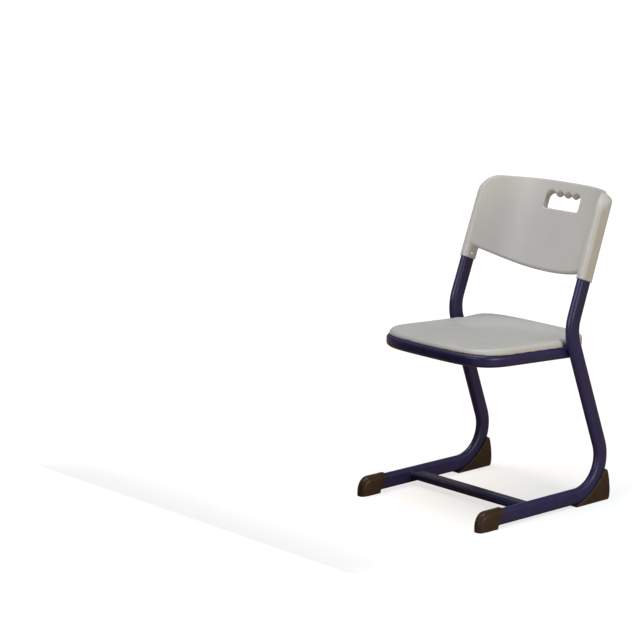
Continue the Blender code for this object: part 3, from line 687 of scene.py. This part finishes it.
def backrest_field(x, s, o):
    """The backrest moulding: s up the uprights, o behind their centrelines."""
    ax = np.abs(x)
    ratio = ax / PANEL_HALF
    edge = PANEL_EDGE + PANEL_SETBACK * smooth(s, 0.150, 0.300)
    front = PANEL_CENTRE - (PANEL_CENTRE - edge) * ratio ** PANEL_POWER
    slope = PANEL_POWER * (PANEL_CENTRE - PANEL_EDGE) / PANEL_HALF * ratio ** (PANEL_POWER - 1)
    depth = (o - front) / np.sqrt(1 + slope ** 2)
    low, top = panel_edge_low(ax), panel_edge_top(ax)
    opening = grip(ax, s, depth)
    out = ax - frame_x(KNEE_Z + s * math.cos(BACK_RAKE) - o * math.sin(BACK_RAKE), 1)

    # the upper corners: an ellipse seen from the front, and a brow seen from the side
    fall = CORNER_FALL - (CORNER_FALL - CORNER_FALL_REAR) * smooth(o, -0.020, 0.010)
    corner = ellipse_edge(out - CORNER_OUT + CORNER_W, CORNER_W, s - top + fall, fall, CORNER_W)
    brow = ellipse_edge(BROW_BACK - o, BROW_DEPTH, s - top + BROW_FALL, BROW_FALL, CORNER_W)

    # the curved panel, hollow at the back inside a rim and a collar round the handle
    thick = PANEL_T + GRIP_THICKER * (1 - smooth(opening, GRIP_COLLAR, GRIP_COLLAR + 0.008))
    slab = cut(-depth, np.maximum(corner, low - s), PANEL_FRONT_R)
    slab = cut(slab, depth - thick, PANEL_REAR_R)
    pocket = cut(PANEL_SKIN - depth, np.maximum(s - top, low - s) + PANEL_RIM, 0.002)
    pocket = cut(cut(pocket, ax - POCKET_HALF, 0.006), GRIP_COLLAR - opening, 0.003)
    slab = cut(slab, -pocket, 0.0015)
    slab = cut(slab, np.maximum(out - PANEL_PAST, -PANEL_AHEAD - o), 0.003)

    # a sleeve over the upright, cut off flush where the panel crosses its front
    sleeve = oval_distance(out, o, 2 * SLEEVE_R, 2 * (SLEEVE_R + SLEEVE_FLAT))
    sleeve = cut(sleeve, SLEEVE_LOW - s, 0.0014)
    sleeve = cut(sleeve, SLEEVE_SUNK - depth - 0.03 * smooth(low - s, -0.006, 0.004), 0.003)
    sleeve = cut(sleeve, corner, 0.004)
    shell = cut(join(slab, sleeve, 0.001 + 0.007 * smooth(o, 0, 0.010)), brow, 0.005)

    # the bore for the upright, never without a wall round it
    bore = oval_distance(out, o, TUBE_W, TUBE_D) - FIT_GAP
    ends = np.maximum(s - UPRIGHT_LEN - WALL_PAST, SLEEVE_LOW + 0.010 - s)
    shell = np.minimum(shell, np.maximum(bore - BORE_WALL, ends))
    shell = cut(shell, -np.maximum(bore, s - UPRIGHT_LEN - BORE_PAST), 0.0008)
    edge_radius = GRIP_FRONT_R - (GRIP_FRONT_R - GRIP_REAR_R) * smooth(depth, 0.006, 0.012)
    return cut(shell, -opening, edge_radius)


def backrest():
    low, high = (-0.216, 0.122, -0.030), (0.216, 0.376, 0.096)
    verts, quads = mould(backrest_field, low, high, step=0.0019)
    y, z = upright_point(verts[:, 1], verts[:, 2])
    add_mesh("backrest_moulding", np.stack([verts[:, 0], y, z], axis=1), quads, BACK_PLASTIC,
             "backrest_plastic", ["backrest_shell"])


# ---------------------------------------------------------------- feet
TUBE_LINE = PlanDistance([(y, z) for y, z, _ in PATH], False, 0.06)
FOOT_EDGE = PlanDistance(resampled_outline(FOOT_OUTLINE, 0.0015), True, 0.012, 0.0005)


def tube_field(across, y, z):
    """The side frame's tube, with the gap that a plastic foot keeps from it."""
    return oval_distance(across, TUBE_LINE(y, z), TUBE_W, TUBE_D) - FIT_GAP


def toe_field(across, y, z):
    """A toe cap: narrower and lower towards its tip, with a slanting mouth."""
    t = np.clip((y - CAP_TIP_Y) / CAP_NOSE, 0, 1)
    half = CAP_W / 2 - CAP_TAPER * (1 - t) ** 2
    rise = ellipse_edge(CAP_TIP_Y + CAP_NOSE - y, CAP_NOSE, z - CAP_SHOULDER_Z, CAP_CURVE_H, 0.036)
    body = cut(np.abs(across) - half, rise, 0.0125)
    body = cut(body, CAP_TIP_Y - y, 0.006)
    body = cut(body, -z, 0.0012)
    mouth = CAP_MOUTH_Y + CAP_MOUTH_SLANT * smooth(z, 0.002, 0.049) ** 0.8
    body = cut(body, y - mouth, 0.0010)
    tube = tube_field(across, y, z)
    return np.maximum(body, -np.maximum(tube, RUN_FRONT_Y - 0.001 - y))


def heel_field(across, y, z):
    """A wedge-shaped heel foot that cradles the outside of the bend."""
    body = cut(FOOT_EDGE(y, z), np.abs(across) - FOOT_W / 2, 0.0022)
    body = cut(body, -z, 0.0010)
    return cut(body, -tube_field(across, y, z), 0.0006)


def feet():
    for kind, field, low, high, node in (
            ("toe_cap", toe_field, (-0.017, -0.2275, -0.002), (0.017, -0.137, 0.051), "front_foot_cap"),
            ("heel_foot", heel_field, (-0.017, 0.108, -0.002), (0.017, 0.2345, 0.083), "rear_foot")):
        verts, quads = mould(field, low, high, step=0.001)
        for name, side in SIDES.items():
            placed = verts.copy()
            placed[:, 0] = side * verts[:, 0] + frame_x(verts[:, 2], side)
            add_mesh(f"{kind}_{name}", placed, quads, FOOT_PLASTIC, "foot_plastic", [f"{node}_{name}"])


# ---------------------------------------------------------------- fixings
def turned(name, centre, axis, profile, mat, slot, replaces):
    """A turned piece: profile points are (radius, distance along the axis)."""
    axis = Vector(axis).normalized()
    u = axis.orthogonal().normalized()
    v = axis.cross(u)
    c = Vector(centre)
    loops = [[tuple(c + axis * d + (u * math.cos(a) + v * math.sin(a)) * r)
              for a in np.linspace(0, 2 * math.pi, 28, endpoint=False)] for r, d in profile]
    add_mesh(name, *loft(loops), mat, slot, replaces, 40)


def fixings():
    for name, side in SIDES.items():
        y, z = upright_point(RIVET_S, 0.0)
        x = frame_x(z, side) - side * SLEEVE_R
        dome = [(RIVET_R * math.sin(a), 0.0003 + 0.0023 * math.cos(a))
                for a in np.linspace(0.08, math.pi / 2, 8)]
        profile = [*dome, (RIVET_R, 0.0001), (RIVET_SHANK_R, 0.0001), (RIVET_SHANK_R, -RIVET_LEN)]
        turned(f"rivet_{name}", (x, y, z), (-side, 0, 0), profile, STEEL, "fixings",
               [f"backrest_rivet_{name}"])
    for where, (x, y) in FIXINGS.items():
        z0 = rail_top(y) - 0.0070
        turned(f"screw_{where}", (x, y, z0), (0, 0, -1), SCREW_PROFILE, STEEL, "fixings",
               [f"seat_screw_{where}"])


def tabs():
    """Welded tabs inside the rail, rounded on their inner end and chamfered above and below."""
    for where, (x, y) in FIXINGS.items():
        side = math.copysign(1, x)
        top = rail_top(y) - TAB_DROP
        x_in, x_out = x - side * TAB_REACH, side * (RAIL_HALF - RAIL_W + 0.001)
        if "front" in where:
            x_out -= side * 0.0034  # the rail's bow brings its inner face nearer here
        outline, r, straight = [], TAB_R, TAB_HALF - TAB_R
        for cx, cy, start in ((x_in + side * r, y + straight, 90), (x_in + side * r, y - straight, 180)):
            outline += [(cx + side * r * math.cos(math.radians(start + 15 * i)),
                         cy + r * math.sin(math.radians(start + 15 * i))) for i in range(7)]
        outline += [(x_out, y - TAB_HALF), (x_out, y + TAB_HALF)]
        cx = sum(p[0] for p in outline) / len(outline)
        loops = []
        for inset, z in ((TAB_CHAMFER, top - TAB_T), (0, top - TAB_T + TAB_CHAMFER),
                         (0, top - TAB_CHAMFER), (TAB_CHAMFER, top)):
            loops.append([(px + (cx - px) * inset / 0.02, py + (y - py) * inset / 0.02, z)
                          for px, py in outline])
        add_mesh(f"tab_{where}", *loft(loops), PAINT, "frame_paint", [f"seat_tab_{where}"], 35)


# ---------------------------------------------------------------- stage, light, camera
def plane(name, corners, mat):
    """A flat sheet through four corners."""
    mesh = bpy.data.meshes.new(name)
    mesh.from_pydata(corners, [], [(0, 1, 2, 3)])
    mesh.materials.append(mat)
    obj = bpy.data.objects.new(name, mesh)
    bpy.context.scene.collection.objects.link(obj)
    return obj


def floor_material():
    """An evenly lit sweep with faint shadows, which sends little light back up on to the chair."""
    mat, tree, shader = new_material("studio_floor")
    colour = ramp(tree, noise(tree, 0.6, 2.0), [(0.3, (0.33, 0.33, 0.33)), (0.7, (0.35, 0.35, 0.35))])
    tree.links.new(colour, shader.inputs["Base Color"])
    shader.inputs["Roughness"].default_value = 0.9
    shader.inputs["Specular IOR Level"].default_value = 0.1
    shader.inputs["Emission Color"].default_value = (1.0, 1.0, 1.0, 1.0)
    shader.inputs["Emission Strength"].default_value = 0.70
    dim = tree.nodes.new("ShaderNodeBsdfDiffuse")
    dim.inputs["Color"].default_value = (0.38, 0.27, 0.18, 1.0)
    seen = tree.nodes.new("ShaderNodeLightPath")
    both = tree.nodes.new("ShaderNodeMixShader")
    tree.links.new(seen.outputs["Is Camera Ray"], both.inputs[0])
    tree.links.new(dim.outputs[0], both.inputs[1])
    tree.links.new(shader.outputs[0], both.inputs[2])
    tree.links.new(both.outputs[0], tree.nodes["Material Output"].inputs["Surface"])
    return mat


def card_material():
    mat, tree, shader = new_material("dark_card")
    colour = ramp(tree, noise(tree, 3.0, 2.0), [(0.3, (0.10, 0.06, 0.04)), (0.7, (0.13, 0.08, 0.05))])
    tree.links.new(colour, shader.inputs["Base Color"])
    shader.inputs["Roughness"].default_value = 0.9
    return mat


def sky():
    """A sky that looks as pale as the floor, and lights the chair more softly than that."""
    world = bpy.data.worlds.new("studio")
    bpy.context.scene.world = world
    world.use_nodes = True
    tree = world.node_tree
    back = tree.nodes["Background"]
    back.inputs["Color"].default_value = (1.0, 0.99, 0.98, 1.0)
    seen = tree.nodes.new("ShaderNodeLightPath")
    strength = map_range(tree, seen.outputs["Is Camera Ray"], 0, 1, SKY_LIGHT, SKY_SEEN)
    tree.links.new(strength, back.inputs["Strength"])


def stage():
    far = FLOOR_HALF
    floor = plane("floor", [(-far, -far, 0), (far, -far, 0), (far, far, 0), (-far, far, 0)],
                  floor_material())
    # a lighting flag ahead of the chair, seen by no camera, keeps low frontal light off seat and frame;
    # its shadow shows faintly on the floor
    (left, right), (low, high) = FLAG_X, FLAG_Z
    flag = plane("flag", [(left, FLAG_Y, low), (right, FLAG_Y, low), (right, FLAG_Y, high),
                          (left, FLAG_Y, high)], card_material())
    flag.visible_camera = False
    sky()


def soft_light(name, azimuth, rise, spread, strength, colour):
    """A distant soft lamp; its angles are in degrees."""
    data = bpy.data.lights.new(name, "SUN")
    data.angle = math.radians(spread)
    data.energy = strength
    data.color = colour
    a, e = math.radians(azimuth), math.radians(rise)
    towards = Vector((math.sin(a) * math.cos(e), -math.cos(a) * math.cos(e), math.sin(e)))
    obj = bpy.data.objects.new(name, data)
    obj.rotation_mode = "QUATERNION"
    obj.rotation_quaternion = towards.to_track_quat("Z", "Y")
    obj.location = towards * 3
    bpy.context.scene.collection.objects.link(obj)


def lights():
    for name, lamp in LAMPS.items():
        soft_light(name, *lamp)


def camera():
    """The photograph's viewpoint."""
    (x, y, z), yaw, rise = CAMERA_AT, CAMERA_YAW, CAMERA_RISE
    back = Vector((math.sin(yaw) * math.cos(rise), -math.cos(yaw) * math.cos(rise), math.sin(rise)))
    right = Vector((math.cos(yaw), math.sin(yaw), 0))
    data = bpy.data.cameras.new("camera")
    data.sensor_width = 36.0
    data.lens = CAMERA_LENS
    data.clip_end = 200.0
    obj = bpy.data.objects.new("camera", data)
    matrix = Matrix((right, back.cross(right), back)).transposed().to_4x4()
    matrix.translation = Vector((x, y - Y_MID, z))
    obj.matrix_world = matrix
    bpy.context.scene.collection.objects.link(obj)
    bpy.context.scene.camera = obj
    bpy.context.scene.view_settings.view_transform = "Standard"


camera()
lights()
stage()
frame_tubes()
welds()
seat()
backrest()
feet()
fixings()
tabs()
